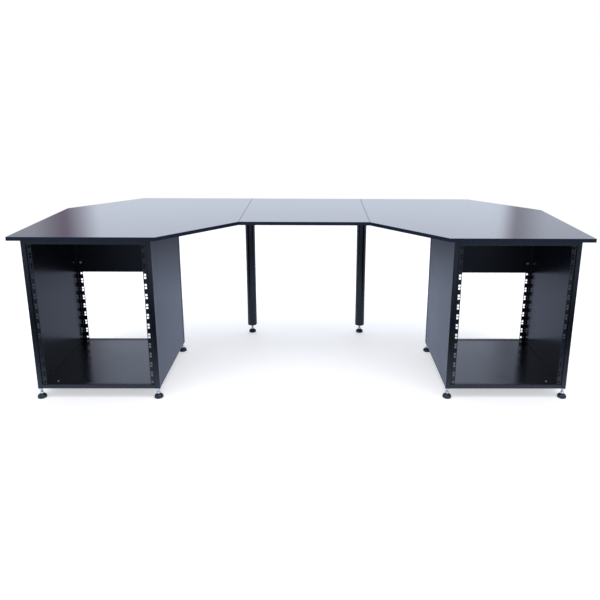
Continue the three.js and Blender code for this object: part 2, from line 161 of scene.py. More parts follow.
# Room as the desk mirrors it: levels by azimuth in degrees, from the backdrop's middle to the right. The
# backdrop's two edges are narrow and warmer. The light grows with height between the ends of GLOW_RISE.
ROOM_TINT = (0.80, 0.86, 1.0)
FRONT_LEVEL = 0.4
LEFT_EDGE = (0.22, 0.16, 0.19)
RIGHT_EDGE = (0.36, 0.27, 0.29)
ROOM_LEVELS = ((-180, FRONT_LEVEL), (-75, FRONT_LEVEL), (-30, 0.48), (-26.2, 0.48), (-24.6, LEFT_EDGE),
               (-23.0, LEFT_EDGE), (-21.8, 1.0), (18.7, 1.0), (19.3, RIGHT_EDGE), (19.9, 0.34), (22.3, 0.68),
               (30, 0.64), (75, FRONT_LEVEL), (180, FRONT_LEVEL))
GLOW_LEVELS = (1.0, 1.28)
GLOW_RISE = (0.06, 0.3)

# Floor as the desk mirrors it: levels by Y. The camera sees a pale floor that fades to white.
FLOOR_TINT = (0.65, 0.75, 1.0)
FLOOR_LEVELS = ((-4.0, 0.5), (-3.0, 0.7), (-2.35, 1.2), (-1.75, 0.3), (-1.3, 0.06), (-0.95, 0.2), (-0.66, 1.0),
                (-0.5, 1.5), (-0.36, 0.8), (0.9, 0.92), (2.4, 0.34), (4.0, 0.3))
FLOOR_HALF = 30.0
FLOOR_FADE = (1.9, 4.2)
FLOOR_LIFT = 0.5
PALE_FLOOR = (0.85, 0.85, 0.85)

# Soft boxes: name, place, width and height, watts.
LAMPS = (
    ("softbox_top", (0.0, -0.2, 3.6), (5.0, 4.0), 104),
    ("softbox_left", (-3.8, -2.2, 2.4), (3.0, 2.6), 12),
    ("softbox_right", (3.8, -2.2, 2.4), (3.0, 2.6), 12),
)
LAMP_TARGET = (0, 0, 0.5)

# Sockets of the mix node when it blends colours.
MIX_FACTOR, MIX_FIRST, MIX_SECOND, MIX_RESULT = 0, 6, 7, 2


# Materials

def feed(tree, target, inputs):
    """Links a socket to each named input of the node, or sets the input's own value."""
    for key, value in inputs.items():
        if isinstance(value, bpy.types.NodeSocket):
            tree.links.new(value, target.inputs[key])
        else:
            target.inputs[key].default_value = value


def node(tree, kind, inputs=None, **settings):
    made = tree.nodes.new(kind)
    for key, value in settings.items():
        setattr(made, key, value)
    feed(tree, made, inputs or {})
    return made


def maths(tree, operation, first, second=0.0):
    return node(tree, "ShaderNodeMath", {0: first, 1: second}, operation=operation).outputs[0]


def object_place(tree, scale=(1, 1, 1)):
    """Coordinates of the surface in metres, stretched so that a texture can run along one axis."""
    place = node(tree, "ShaderNodeTexCoord").outputs["Object"]
    return node(tree, "ShaderNodeMapping", {"Vector": place, "Scale": scale}).outputs["Vector"]


def noise(tree, place, scale, detail, roughness=0.55):
    made = node(tree, "ShaderNodeTexNoise",
                {"Vector": place, "Scale": scale, "Detail": detail, "Roughness": roughness})
    return made.outputs["Fac"]


def span(tree, value, low, high, from_low=0.3, from_high=0.7):
    """A texture's value taken to the range low to high."""
    made = node(tree, "ShaderNodeMapRange", {
        "Value": value, "From Min": from_low, "From Max": from_high, "To Min": low, "To Max": high})
    return made.outputs["Result"]


def blend_colour(tree, factor, first, second):
    made = node(tree, "ShaderNodeMix", {MIX_FACTOR: factor, MIX_FIRST: (*first, 1), MIX_SECOND: (*second, 1)},
                data_type="RGBA")
    return made.outputs[MIX_RESULT]


def bump(tree, height, distance, strength, under=None):
    made = node(tree, "ShaderNodeBump", {"Height": height, "Strength": strength, "Distance": distance})
    if under is not None:
        tree.links.new(under, made.inputs["Normal"])
    return made.outputs["Normal"]


def material(name, build, **settings):
    """A new material whose shader gets the inputs that build gives for its node tree."""
    made = bpy.data.materials.new(name)
    made.use_nodes = True
    tree = made.node_tree
    feed(tree, tree.nodes["Principled BSDF"], build(tree, **settings))
    return made


def laminate(tree, dark, light, gloss, grain, coat, level, relief=0.004 * MM, sheen=(1, 1, 1)):
    """Satin melamine: a faint pearl texture, fine lines along one axis and hand marks in the gloss."""
    pearl = noise(tree, object_place(tree), 1400, 2)
    lines = noise(tree, object_place(tree, grain), 900, 3, 0.6)
    cloud = noise(tree, object_place(tree), 5.5, 4)
    wiped = noise(tree, object_place(tree, (1.0, 2.6, 1.0)), 14, 5)
    return {
        "Base Color": blend_colour(tree, span(tree, lines, 0, 1), dark, light),
        "Roughness": maths(tree, "ADD", span(tree, cloud, *gloss), span(tree, wiped, -0.01, 0.01)),
        "Normal": bump(tree, lines, relief, 0.3, bump(tree, pearl, 0.003 * MM, 0.3)),
        "Specular IOR Level": level,
        "Specular Tint": (*sheen, 1),
        "Coat Weight": coat,
        "Coat Roughness": gloss[0] * 0.8,
    }


def edge_band(tree, colour, roughness):
    """Plastic edge strip: fine milling lines along it and scuffs that dull it."""
    scuffs = noise(tree, object_place(tree), 60, 6, 0.7)
    milled = noise(tree, object_place(tree, (0.15, 0.15, 6.0)), 700, 2)
    worn = [channel * 2.1 + 0.01 for channel in colour]
    return {
        "Base Color": blend_colour(tree, span(tree, scuffs, 0, 1, 0.55, 0.85), colour, worn),
        "Roughness": span(tree, scuffs, roughness - 0.05, roughness + 0.12),
        "Normal": bump(tree, milled, 0.03 * MM, 0.4),
        "Specular IOR Level": 0.3,
    }


def chipboard(tree):
    """Raw sawn edge of the board: brown chips with dark gaps."""
    chips = node(tree, "ShaderNodeTexVoronoi", {"Vector": object_place(tree, (1, 1, 3)), "Scale": 420})
    shade = node(tree, "ShaderNodeSeparateColor", {"Color": chips.outputs["Color"]}).outputs[0]
    return {
        "Base Color": blend_colour(tree, shade, (0.16, 0.09, 0.045), (0.36, 0.24, 0.13)),
        "Roughness": 0.85,
        "Normal": bump(tree, chips.outputs["Distance"], 0.4 * MM, 0.6),
    }


def powder_coat(tree, colour, roughness):
    """Baked powder paint: orange-peel skin, thin spots and a slightly uneven gloss."""
    peel = noise(tree, object_place(tree), 650, 2, 0.4)
    speck = noise(tree, object_place(tree), 2600, 1)
    cloud = noise(tree, object_place(tree), 9, 4)
    pale = [channel * 1.45 + 0.001 for channel in colour]
    return {
        "Base Color": blend_colour(tree, span(tree, cloud, 0, 1), colour, pale),
        "Roughness": span(tree, cloud, roughness - 0.05, roughness + 0.07),
        "Normal": bump(tree, speck, 0.01 * MM, 0.3, bump(tree, peel, 0.06 * MM, 0.55)),
        "Specular IOR Level": 0.5,
    }


def anodised(tree, colour):
    """Black anodised sheet with a fine brushed grain along its length."""
    brushed = noise(tree, object_place(tree, (0.02, 1.0, 1.0)), 2200, 3)
    pale = [channel * 1.6 for channel in colour]
    return {
        "Base Color": blend_colour(tree, span(tree, brushed, 0, 1), colour, pale),
        "Roughness": span(tree, brushed, 0.34, 0.46),
        "Normal": bump(tree, brushed, 0.01 * MM, 0.5),
        "Metallic": 0.35,
    }


def plated_steel(tree, colour, roughness):
    """Bright zinc: turned lines round the part, a faint cloudiness and duller pits."""
    turned = noise(tree, object_place(tree, (0.3, 0.3, 3.0)), 1500, 3)
    cloud = noise(tree, object_place(tree), 160, 4)
    dull = [channel * 0.78 for channel in colour]
    return {
        "Base Color": blend_colour(tree, span(tree, cloud, 0, 1), dull, colour),
        "Roughness": span(tree, cloud, roughness + 0.1, roughness),
        "Normal": bump(tree, turned, 0.015 * MM, 0.4),
        "Metallic": 1.0,
    }


def black_oxide(tree):
    """Blackened screw steel, a little brown where it is worn."""
    rubbed = noise(tree, object_place(tree), 500, 4)
    worn = span(tree, rubbed, 0, 1, 0.5, 0.8)
    return {
        "Base Color": blend_colour(tree, worn, (0.03, 0.031, 0.034), (0.12, 0.11, 0.1)),
        "Roughness": span(tree, rubbed, 0.36, 0.5),
        "Normal": bump(tree, rubbed, 0.02 * MM, 0.4),
        "Metallic": 0.8,
    }


def moulded(tree, colour):
    """Moulded nylon with a fine spark-eroded grain, rubbed smoother in patches."""
    grain = noise(tree, object_place(tree), 2300, 2)
    rubbed = noise(tree, object_place(tree), 120, 4)
    pale = [channel * 1.7 + 0.004 for channel in colour]
    return {
        "Base Color": blend_colour(tree, span(tree, rubbed, 0, 1, 0.45, 0.75), colour, pale),
        "Roughness": span(tree, rubbed, 0.34, 0.2),
        "Normal": bump(tree, grain, 0.03 * MM, 0.4),
        "Specular IOR Level": 0.7,
    }


LOOKS = {
    "worktop": material("worktop_laminate", laminate, dark=(0.011, 0.013, 0.019), light=(0.019, 0.021, 0.029),
                        gloss=(0.13, 0.16), grain=(0.06, 1.0, 1.0), coat=1.0, level=0.4),
    "side": material("side_laminate", laminate, dark=(0.006, 0.008, 0.013), light=(0.012, 0.014, 0.02),
                     gloss=(0.2, 0.25), grain=(1.0, 1.0, 0.06), coat=0.05, level=0.2),
    "floor": material("floor_laminate", laminate, dark=(0.0015, 0.002, 0.004), light=(0.0045, 0.005, 0.008),
                      gloss=(0.14, 0.2), grain=(0.02, 0.22, 0.22), coat=0.1, level=0.6, relief=0.02 * MM,
                      sheen=(0.6, 0.76, 1.0)),
    "band": material("worktop_edge_band", edge_band, colour=(0.005, 0.012, 0.031), roughness=0.36),
    "side_band": material("board_edge_band", edge_band, colour=(0.007, 0.009, 0.015), roughness=0.42),
    "raw": material("raw_chipboard", chipboard),
    "tube": material("tube_powder_coat", powder_coat, colour=(0.0015, 0.003, 0.006), roughness=0.26),
    "rail": material("rail_powder_coat", powder_coat, colour=(0.0018, 0.003, 0.006), roughness=0.28),
    "plate": material("plate_powder_coat", powder_coat, colour=(0.008, 0.009, 0.013), roughness=0.42),
    "blank": material("blank_anodised", anodised, colour=(0.005, 0.007, 0.012)),
    "zinc": material("bright_zinc", plated_steel, colour=(0.84, 0.86, 0.88), roughness=0.3),
    "screw": material("black_screw", black_oxide),
    "pad": material("moulded_pad", moulded, colour=(0.006, 0.007, 0.01)),
}


# Shapes

def link(name, mesh, looks, body):
    for look in looks:
        mesh.materials.append(LOOKS[look])
    made = bpy.data.objects.new(name, mesh)
    bpy.context.scene.collection.objects.link(made)
    flatten_shading(made)
    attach(made, body)
    return made


def replace(name, mesh, looks, body):
    """The finished piece that takes the place of the CAD node of this name."""
    made = link(f"{name}_dressed", mesh, looks, body)
    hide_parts(name)


def evaluated_mesh(made):
    """A new mesh with the object's modifiers in it."""
    return bpy.data.meshes.new_from_object(made.evaluated_get(bpy.context.evaluated_depsgraph_get()))


def flatten_shading(made):
    """Normals follow the broad faces, so that a flat face mirrors as a flat one up to its rounded edge."""
    modifier = made.modifiers.new("normals", "WEIGHTED_NORMAL")
    modifier.keep_sharp = True
    modifier.weight = 100
    made.data = evaluated_mesh(made)
    made.modifiers.remove(modifier)


def mesh_from(name, points, faces, smooth_above=None):
    mesh = bpy.data.meshes.new(name)
    mesh.from_pydata([tuple(point) for point in points], [], faces)
    shape = bmesh.new()
    shape.from_mesh(mesh)
    bmesh.ops.recalc_face_normals(shape, faces=shape.faces)
    shape.to_mesh(mesh)
    shape.free()
    if smooth_above is not None:
        smooth(mesh, smooth_above)
    return mesh


def smooth(mesh, angle):
    """Rounded faces shade smoothly, and corners sharper than the angle stay crisp."""
    mesh.polygons.foreach_set("use_smooth", [True] * len(mesh.polygons))
    mesh.set_sharp_from_angle(angle=math.radians(angle))


def bevelled(mesh, width, segments, above=40):
    """Rounds every edge that turns by more than the angle."""
    shape = bmesh.new()
    shape.from_mesh(mesh)
    edges = [e for e in shape.edges if len(e.link_faces) == 2 and e.calc_face_angle(0) > math.radians(above)]
    bmesh.ops.bevel(shape, geom=edges, offset=width, segments=segments, profile=0.5, affect="EDGES")
    shape.to_mesh(mesh)
    shape.free()
    smooth(mesh, 30)
    return mesh


def moved(mesh, matrix):
    """The mesh put in its place; a mirrored one is turned right side out again."""
    mesh.transform(matrix)
    if matrix.is_negative:
        mesh.flip_normals()
    mesh.update()
    return mesh


def joined(name, meshes, smooth_above=30):
    """Several meshes with the same materials as one."""
    shape = bmesh.new()
    for mesh in meshes:
        shape.from_mesh(mesh)
    whole = bpy.data.meshes.new(name)
    shape.to_mesh(whole)
    shape.free()
    smooth(whole, smooth_above)
    return whole


def cut(mesh, cutter):
    """The mesh less the cutter."""
    body, tool = (bpy.data.objects.new(m.name, m) for m in (mesh, cutter))
    for made in (body, tool):
        bpy.context.scene.collection.objects.link(made)
    modifier = body.modifiers.new("cut", "BOOLEAN")
    modifier.operation = "DIFFERENCE"
    modifier.solver = "EXACT"
    modifier.object = tool
    result = evaluated_mesh(body)
    for made in (body, tool):
        bpy.data.objects.remove(made)
    smooth(result, 35)
    return result


def prism(name, outline, bottom, top):
    count = len(outline)
    points = [(x, y, z) for z in (bottom, top) for x, y in outline]
    faces = [list(range(count))[::-1], list(range(count, 2 * count))]
    faces += [(i, (i + 1) % count, count + (i + 1) % count, count + i) for i in range(count)]
    return mesh_from(name, points, faces)


def rounded_rectangle(width, height, corner, steps=4):
    points = []
    for quarter, (x, y) in enumerate(((1, 1), (-1, 1), (-1, -1), (1, -1))):
        for i in range(steps + 1):
            angle = (quarter + i / steps) * math.pi / 2
            points.append((x * (width / 2 - corner) + corner * math.cos(angle),
                           y * (height / 2 - corner) + corner * math.sin(angle)))
    return points


def circle(radius, steps, start=0.0):
    turn = 2 * math.pi / steps
    return [(radius * math.cos(start + i * turn), radius * math.sin(start + i * turn)) for i in range(steps)]


def lathe(name, profile, steps):
    """A turned shape from (radius, height) points; the profile starts and ends on the axis or closes."""
    points, rings = [], []
    for radius, height in profile:
        if radius < 1e-7:
            rings.append([len(points)] * steps)
            points.append((0.0, 0.0, height))
        else:
            rings.append(list(range(len(points), len(points) + steps)))
            points += [(x, y, height) for x, y in circle(radius, steps)]
    faces = []
    for low, high in zip(rings, rings[1:]):
        for i in range(steps):
            k = (i + 1) % steps
            corners = list(dict.fromkeys((low[i], low[k], high[k], high[i])))
            if len(corners) > 2:
                faces.append(corners)
    return mesh_from(name, points, faces, smooth_above=35)


# Boards

def finish_by_facing(mesh, axis):
    """Broad faces get the first material, and everything that turns away from them the second."""
    for polygon in mesh.polygons:
        polygon.material_index = 0 if abs(polygon.normal[axis]) > BROAD_FACE else 1


def worktop_outlines():
    wing = [
        (CENTRE_HALF + DIAGONAL, -HALF_DEPTH), (HALF_WIDTH, -HALF_DEPTH), (HALF_WIDTH, HALF_DEPTH - DIAGONAL),
        (HALF_WIDTH - DIAGONAL, HALF_DEPTH), (CENTRE_HALF + SEAM_GAP, HALF_DEPTH),
        (CENTRE_HALF + SEAM_GAP, -HALF_DEPTH + DIAGONAL - SEAM_GAP),
    ]
    centre = [(-CENTRE_HALF, HALF_DEPTH - CENTRE_DEPTH), (CENTRE_HALF, HALF_DEPTH - CENTRE_DEPTH),
              (CENTRE_HALF, HALF_DEPTH), (-CENTRE_HALF, HALF_DEPTH)]
    return {"worktop_right": wing, "worktop_left": [(-x, y) for x, y in wing], "worktop_centre": centre}


def add_worktop():
    for name, outline in worktop_outlines().items():
        low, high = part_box(name)
        mesh = bevelled(prism(name, outline, low.z, high.z), WORKTOP_ARRIS, 3)
        finish_by_facing(mesh, 2)
        replace(name, mesh, ["worktop", "band"], "desk")


def add_board(name, axis, looks, arris):
    low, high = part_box(name)
    outline = [(low.x, low.y), (high.x, low.y), (high.x, high.y), (low.x, high.y)]
    mesh = bevelled(prism(name, outline, low.z, high.z), arris, 2)
    finish_by_facing(mesh, axis)
    replace(name, mesh, looks, "desk")


# Rings of square tube

def tube(name, length, bore=0.0):
    """Square tube with rounded corners along Z, closed at both ends; a bore opens its foot."""
    section = rounded_rectangle(TUBE, TUBE, TUBE_CORNER)
    count = len(section)
    points = [(x, y, z) for z in (0, length) for x, y in section]
    faces = [(i, (i + 1) % count, count + (i + 1) % count, count + i) for i in range(count)]
    faces.append(list(range(count, 2 * count)))
    if bore:
        rim = circle(bore, count, math.pi / count)
        for z in (0, BORE_DEPTH):
            points += [(x, y, z) for x, y in rim]
        for i in range(count):
            k = (i + 1) % count
            faces.append((i, 2 * count + i, 2 * count + k, k))
            faces.append((2 * count + i, 3 * count + i, 3 * count + k, 2 * count + k))
        faces.append(list(range(3 * count, 4 * count)))
    else:
        faces.append(list(range(count))[::-1])
    return mesh_from(name, points, faces, smooth_above=40)


def weld(name):
    """Ground weld bead along Z in the corner between two tubes, with low ripples."""
    points, faces = [], []
    rings, around = 26, 8
    for i in range(rings):
        z = WELD_LENGTH * (i / (rings - 1) - 0.5)
        swell = WELD_RADIUS * (1 + 0.12 * math.sin(i * 2.1) + 0.06 * math.sin(i * 5.3))
        points += [(x, y, z) for x, y in circle(swell, around)]
    for i in range(rings - 1):
        for j in range(around):
            k = (j + 1) % around
            faces.append((i * around + j, i * around + k, (i + 1) * around + k, (i + 1) * around + j))
    faces += [list(range(around)), list(range((rings - 1) * around, rings * around))]
    return mesh_from(name, points, faces, smooth_above=60)


def lug(name):
    """Tab along +Y from its root in the tube, with rounded free corners, in the XY plane."""
    reach = LUG_REACH + LUG_SHEET / 2
    outline = [(-LUG_WIDTH / 2, 0), (LUG_WIDTH / 2, 0)]
    for corner, start in ((1, 0), (-1, math.pi / 2)):
        for i in range(5):
            angle = start + i * math.pi / 8
            outline.append((corner * (LUG_WIDTH / 2 - LUG_CORNER) + LUG_CORNER * math.cos(angle),
                            reach - LUG_CORNER + LUG_CORNER * math.sin(angle)))
    return bevelled(prism(name, outline, 0, LUG_SHEET), SHEET_ARRIS, 1)


def add_ring(side, end):
    """The ring as built: two posts, a bar between them at head and foot, weld beads and lugs."""
    name = f"{side}_{end}_frame"
    low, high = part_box(name)
    inward = -ENDS[end]
    face = low.y if inward > 0 else high.y
    axis_y = face + inward * TUBE / 2
    meshes = []
    for x in (low.x + TUBE / 2, high.x - TUBE / 2):
        meshes.append(moved(tube(name, high.z - low.z, NUT_BORE), Matrix.Translation((x, axis_y, low.z))))
    for z in (low.z + TUBE / 2, high.z - TUBE / 2):
        place = Matrix.Translation((low.x + TUBE, axis_y, z)) @ Matrix.Rotation(math.pi / 2, 4, "Y")
        meshes.append(moved(tube(name, high.x - low.x - 2 * TUBE), place))
    for x in (low.x + TUBE, high.x - TUBE):
        for z in (low.z + TUBE, high.z - TUBE):
            place = Matrix.Translation((x, axis_y, z)) @ Matrix.Rotation(math.pi / 2, 4, "X")
            meshes.append(moved(weld(name), place))
    root = axis_y + inward * (TUBE - LUG_SHEET) / 2
    upright = Matrix.Scale(inward, 4, (0, 1, 0)) @ Matrix.Rotation(math.pi / 2, 4, "Y")
    level = Matrix.Rotation(0 if inward > 0 else math.pi, 4, "Z")
    for wall, x in ((-1, low.x), (1, high.x)):
        tab_x = x - wall * (SIDE_LUG_FACE + LUG_SHEET / 2) - LUG_SHEET / 2
        for z in (low.z + SIDE_LUG_INSET, high.z - SIDE_LUG_INSET):
            meshes.append(moved(lug(name), Matrix.Translation((tab_x, root, z)) @ upright))
        place = Matrix.Translation((x - wall * FLOOR_LUG_INSET, root, low.z)) @ level
        meshes.append(moved(lug(name), place))
    replace(name, joined(name, meshes), ["tube"], "desk")


# Rack rails

def rail_levels(low, high):
    """Heights of the edges of the square holes, from the rail's foot to its head."""
    foot = (low + high) / 2 - RACK_UNITS * RACK_PITCH / 2
    levels = [low]
    for unit in range(RACK_UNITS):
        for edge in (HOLE_TO_UNIT_EDGE, RACK_PITCH - HOLE_TO_UNIT_EDGE):
            centre = foot + unit * RACK_PITCH + edge
            levels += [centre - CAGE_HOLE / 2, centre + CAGE_HOLE / 2]
    return levels + [high]


def rail_section(flange, leg):
    """Outer and inner points of the folded section, from the leg's free edge round to the flange's."""
    outer, inner = [(0.0, leg)], [(RAIL_SHEET, leg)]
    steps = 6
    for i in range(steps + 1):
        angle = math.pi + i / steps * math.pi / 2
        for radius, run in ((RAIL_BEND, outer), (RAIL_BEND - RAIL_SHEET, inner)):
            run.append((RAIL_BEND + radius * math.cos(angle), RAIL_BEND + radius * math.sin(angle)))
    column = flange - HOLE_TO_OPENING - CAGE_HOLE / 2
    for x in (column, column + CAGE_HOLE, flange):
        outer.append((x, 0.0))
        inner.append((x, RAIL_SHEET))
    return outer, inner


def rail_mesh(name, flange, leg, low, high):
    """Folded sheet, row by row between the levels; every second row has a hole in its flange."""
    outer, inner = rail_section(flange, leg)
    levels = rail_levels(low, high)
    run = len(outer)
    points = [(x, y, z) for z in levels for x, y in outer + inner]
    faces = []
    hole = run - 3

    def at(level, index, back):
        return level * 2 * run + index + (run if back else 0)

    for level in range(len(levels) - 1):
        punched = level % 2 == 1
        for i in range(run - 1):
            front, back = [
                (at(level, i, face), at(level, i + 1, face), at(level + 1, i + 1, face), at(level + 1, i, face))
                for face in (0, 1)]
            if punched and i == hole:
                for j in range(4):
                    k = (j + 1) % 4
                    faces.append((front[j], front[k], back[k], back[j]))
            else:
                faces += [front, back]
        for i in (0, run - 1):
            faces.append((at(level, i, 0), at(level + 1, i, 0), at(level + 1, i, 1), at(level, i, 1)))
    for level in (0, len(levels) - 1):
        for i in range(run - 1):
            faces.append((at(level, i, 0), at(level, i + 1, 0), at(level, i + 1, 1), at(level, i, 1)))
    return bevelled(mesh_from(name, points, faces), RAIL_ARRIS, 1, 60)


def add_rail(side, end, wall):
    name = f"{side}_{end}_{wall}_rail"
    low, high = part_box(name)
    facing = ENDS[end]
    out = SIDES[side] * (1 if wall == "outer" else -1)
    corner_x = high.x if out > 0 else low.x
    corner_y = low.y if facing < 0 else high.y
    mesh = rail_mesh(name, high.x - low.x, high.y - low.y, low.z, high.z)
    place = Matrix.Translation((corner_x, corner_y, 0)) @ Matrix.Diagonal((-out, -facing, 1, 1))
    replace(name, moved(mesh, place), ["rail"], "desk")
    leg_face = corner_x - out * RAIL_SHEET
    leg_y = corner_y - facing * (RAIL_BEND + high.y - low.y) / 2
    run = high.z - low.z - 2 * RAIL_SCREW_MARGIN
    heights = [low.z + RAIL_SCREW_MARGIN + run * i / (RAIL_SCREWS - 1) for i in range(RAIL_SCREWS)]
    add_screws(f"{name}_screws", [((leg_face, leg_y, z), (-out, 0, 0)) for z in heights], RAIL_SCREW, "screw")


# Screws and cage nuts

def screw_head(radius):
    """Pan head on z = 0 facing +Z, with a cross recess cut into it."""
    height = radius * HEAD_HEIGHT
    profile = [(0, 0), (radius, 0), (radius, height * HEAD_RIM)]
    for i in range(1, 7):
        angle = i / 6 * math.pi / 2
        profile.append((radius * (HEAD_CROWN + (1 - HEAD_CROWN) * math.cos(angle)),
                        height * (HEAD_RIM + (1 - HEAD_RIM) * math.sin(angle))))
    profile.append((0, height))
    arm, reach = radius * RECESS_ARM, radius * RECESS_REACH
    cross = [(arm, arm), (arm, reach), (-arm, reach), (-arm, arm), (-reach, arm), (-reach, -arm),
             (-arm, -arm), (-arm, -reach), (arm, -reach), (arm, -arm), (reach, -arm), (reach, arm)]
    recess = prism("recess", cross, height * (1 - RECESS_DEPTH), height + radius)
    return cut(lathe("screw_head", profile, 24), recess)


HEADS = {}


def add_screws(name, places, radius, look):
    """One piece with a screw head at each place, facing along each normal."""
    if radius not in HEADS:
        HEADS[radius] = screw_head(radius)
    meshes = []
    for i, (place, normal) in enumerate(places):
        turn = Vector((0, 0, 1)).rotation_difference(Vector(normal)).to_matrix().to_4x4()
        spin = Matrix.Rotation(0.7 * i + 0.3, 4, "Z")
        meshes.append(moved(HEADS[radius].copy(), Matrix.Translation(place) @ turn @ spin))
    link(name, joined(name, meshes, 35), [look], "desk")


def add_ring_screws(side, end):
    """Screws through the lugs into the boards, and up through the top bar into the worktop. The end of one
    shows on the floor board, as in the photograph."""
    name = f"{side}_{end}_frame"
    low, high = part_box(name)
    inward = -ENDS[end]
    face = low.y if inward > 0 else high.y
    hole_y = face + inward * (TUBE + LUG_REACH / 2)
    places = []
    for wall, x in ((-1, low.x), (1, high.x)):
        for z in (low.z + SIDE_LUG_INSET, high.z - SIDE_LUG_INSET):
            places.append(((x - wall * (SIDE_LUG_FACE + LUG_SHEET), hole_y, z), (-wall, 0, 0)))
        places.append(((x - wall * FLOOR_LUG_INSET, hole_y, low.z), (0, 0, -1)))
        places.append(((x - wall * WORKTOP_SCREW_INSET, face + inward * TUBE / 2, high.z - TUBE), (0, 0, -1)))
    add_screws(f"{name}_screws", places, FRAME_SCREW, "screw")
    if end == "front":
        outer_x = high.x - FLOOR_LUG_INSET if side == "right" else low.x + FLOOR_LUG_INSET
        floor_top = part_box(f"{side}_floor_board")[1].z
        add_screws(f"{side}_floor_screw_cap", [((outer_x, hole_y, floor_top), (0, 0, 1))], FLOOR_SCREW, "zinc")


def add_plate_screws(name, under):
    """A screw near each corner of a plate, on the underside of its sheet."""
    low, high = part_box(name)
    inset = PLATE_SCREW_INSET
    places = [((x, y, under), (0, 0, -1))
              for x in (low.x + inset, high.x - inset) for y in (low.y + inset, high.y - inset)]
    add_screws(f"{name}_screws", places, PLATE_SCREW, "zinc")


def add_cage_nuts(name, places):
    """Sprung cages clipped in the rail's square holes, seen from inside the cabinet, each with its nut."""
    meshes = []
    for place in places:
        shell = prism(name, rounded_rectangle(*CAGE_SIZE, CAGE_CORNER, 2), 0, CAGE_SHEET)
        block = rounded_rectangle(CAGE_NUT_WIDTH, CAGE_NUT_WIDTH, CAGE_NUT_CORNER, 2)
        nut = prism(name, block, CAGE_SHEET, CAGE_NUT_DEPTH)
        turned = Matrix.Translation(place) @ Matrix.Rotation(math.pi / 2, 4, "X")
        parts = (bevelled(shell, SHEET_ARRIS, 1), bevelled(nut, CAGE_NUT_ARRIS, 1), lathe(name, CAGE_TIP, 16))
        meshes += [moved(part, turned) for part in parts]
    link(name, joined(name, meshes), ["zinc"], "desk")


def add_blank_panel(side):
    name = f"{side}_rear_blank_panel"
    low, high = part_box(name)
    middle = (low + high) / 2
    outline = rounded_rectangle(high.x - low.x, high.z - low.z, BLANK_CORNER, 3)
    mesh = bevelled(prism(name, outline, 0, high.y - low.y), BOARD_ARRIS, 2)
    stand = Matrix.Translation((middle.x, high.y, middle.z)) @ Matrix.Rotation(math.pi / 2, 4, "X")
    replace(name, moved(mesh, stand), ["blank"], "desk")
    column = RACK_OPENING / 2 + HOLE_TO_OPENING
    row = BLANK_UNITS * RACK_PITCH / 2 - RACK_PITCH - HOLE_TO_UNIT_EDGE
    corners = [(middle.x + x, middle.z + z) for x in (-column, column) for z in (-row, row)]
    add_screws(f"{name}_screws", [((x, high.y, z), (0, 1, 0)) for x, z in corners], BLANK_SCREW, "screw")
    add_cage_nuts(f"{name}_cage_nuts", [(x, low.y - SEAT_GAP - RAIL_SHEET, z) for x, z in corners])


# Legs

def add_leg(side):
    """Round tube with a rounded lower edge and a welded end cap, bored for the stud of its foot."""
    name = f"{side}_leg_tube"
    low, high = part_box(name)
    middle = (low + high) / 2
    outer, height = (high.x - low.x) / 2, high.z - low.z
    edge = outer - LEG_ARRIS
    profile = [(NUT_BORE, LEG_CAP), (NUT_BORE, 0), (edge, 0)]
    for i in range(1, 6):
        angle = i / 5 * math.pi / 2
        profile.append((edge + LEG_ARRIS * math.sin(angle), LEG_ARRIS - LEG_ARRIS * math.cos(angle)))
    profile += [(outer, height), (outer - LEG_WALL, height), (outer - LEG_WALL, LEG_CAP), (NUT_BORE, LEG_CAP)]
    mesh = moved(lathe(name, profile, 64), Matrix.Translation((middle.x, middle.y, low.z)))
    replace(name, mesh, ["tube"], "desk")


# Levelling feet

def threaded_stud(low, high):
    """Pin in the pad, hexagon over the pad's neck and a thread above it up to the chamfered tip."""
    hex_low = PAD_HEIGHT + SEAT_GAP
    hex_high = hex_low + HEX_HEIGHT
    around, turn_rows = 20, len(THREAD_SHAPE)
    row_height = THREAD_PITCH / turn_rows
    rows = int((high - hex_high) / row_height)
    points, faces = [], []
    for row in range(rows + 1):
        z = hex_high + row * row_height
        taper = 1 - STUD_TIP_SHARE * (1 - min(1.0, max(0.0, (high - z) / STUD_TIP)))
        for i in range(around):
            angle = 2 * math.pi * i / around
            phase = (row - turn_rows * i / around) % turn_rows
            first = int(phase)
            here, following = THREAD_SHAPE[first], THREAD_SHAPE[(first + 1) % turn_rows]
            radius = (STUD_RADIUS - THREAD_DEPTH * (here + (following - here) * (phase - first))) * taper
            points.append((radius * math.cos(angle), radius * math.sin(angle), z))
    for row in range(rows):
        for i in range(around):
            k = (i + 1) % around
            faces.append((row * around + i, row * around + k, (row + 1) * around + k, (row + 1) * around + i))
    faces.append(list(range(rows * around, (rows + 1) * around)))
    faces.append(list(range(around))[::-1])
    thread = mesh_from("thread", points, faces, smooth_above=50)
    flats = bevelled(prism("hex", circle(HEX_FLATS / math.sqrt(3), 6), hex_low, hex_high), HEX_ARRIS, 2)
    pin = lathe("pin", [(0, low), (PIN_RADIUS, low), (PIN_RADIUS, hex_low), (0, hex_low)], 24)
    return joined("stud", [thread, flats, pin], 40)


